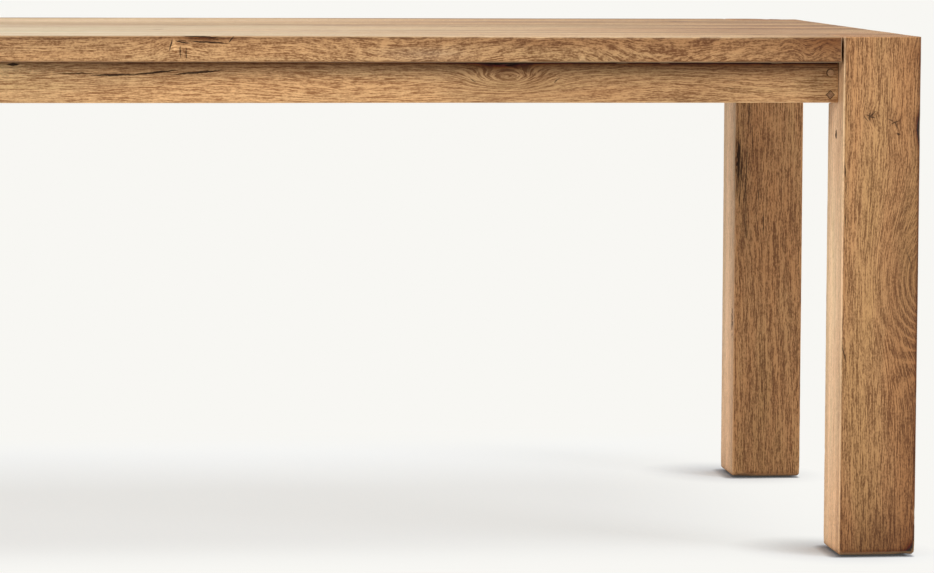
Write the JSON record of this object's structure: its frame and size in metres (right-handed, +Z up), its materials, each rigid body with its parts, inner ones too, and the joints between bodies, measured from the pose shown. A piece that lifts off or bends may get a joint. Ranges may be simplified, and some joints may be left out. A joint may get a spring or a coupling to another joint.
{
  "type": "parsons dining table",
  "caption": "Long solid-wood dining table: square corner legs rise flush with a thick planked top, over a low recessed apron.",
  "frame": {"origin": "on the floor, at the centre of the table's footprint", "axes": "+X along the table, +Y from the front to the back, +Z up"},
  "size_m": [2.743, 1.016, 0.762],
  "materials": {
    "oak_top": "matt oil, open grain",
    "oak_leg": "matt oil, open grain",
    "oak_apron": "matt oil, open grain",
    "oak_inner": "planed, unfinished",
    "oak_peg": "matt oil, end grain",
    "zinc_steel": "zinc plated",
    "nylon": "moulded, matt"
  },
  "bodies": {
    "root": {"leg_front_left": "oak_leg", "loose_tenons_front_left": "oak_inner", "corner_block_front_left": "oak_inner", "leg_front_right": "oak_leg", "loose_tenons_front_right": "oak_inner", "corner_block_front_right": "oak_inner", "leg_back_right": "oak_leg", "loose_tenons_back_right": "oak_inner", "corner_block_back_right": "oak_inner", "leg_back_left": "oak_leg", "loose_tenons_back_left": "oak_inner", "corner_block_back_left": "oak_inner", "apron_front": "oak_apron", "pegs_front": "oak_peg", "top_buttons_front": "oak_inner", "apron_right": "oak_apron", "pegs_right": "oak_peg", "top_buttons_right": "oak_inner", "apron_back": "oak_apron", "pegs_back": "oak_peg", "top_buttons_back": "oak_inner", "apron_left": "oak_apron", "pegs_left": "oak_peg", "top_buttons_left": "oak_inner", "top_plank_front_edge": "oak_top", "top_plank_1": "oak_top", "top_plank_2": "oak_top", "top_plank_3": "oak_top", "top_plank_4": "oak_top", "top_plank_5": "oak_top", "top_plank_back_edge": "oak_top", "spline_1": "oak_inner", "spline_2": "oak_inner", "spline_3": "oak_inner", "spline_4": "oak_inner", "spline_5": "oak_inner", "spline_6": "oak_inner", "cross_rail_1": "oak_inner", "cross_rail_2": "oak_inner", "cross_rail_3": "oak_inner", "hanger_bolts": "zinc_steel", "hanger_washers": "zinc_steel", "hanger_nuts": "zinc_steel", "corner_block_screws": "zinc_steel", "cross_rail_screws": "zinc_steel", "top_button_screws": "zinc_steel", "glide_nails": "zinc_steel", "floor_glides": "nylon"}
  },
  "joints": []
}
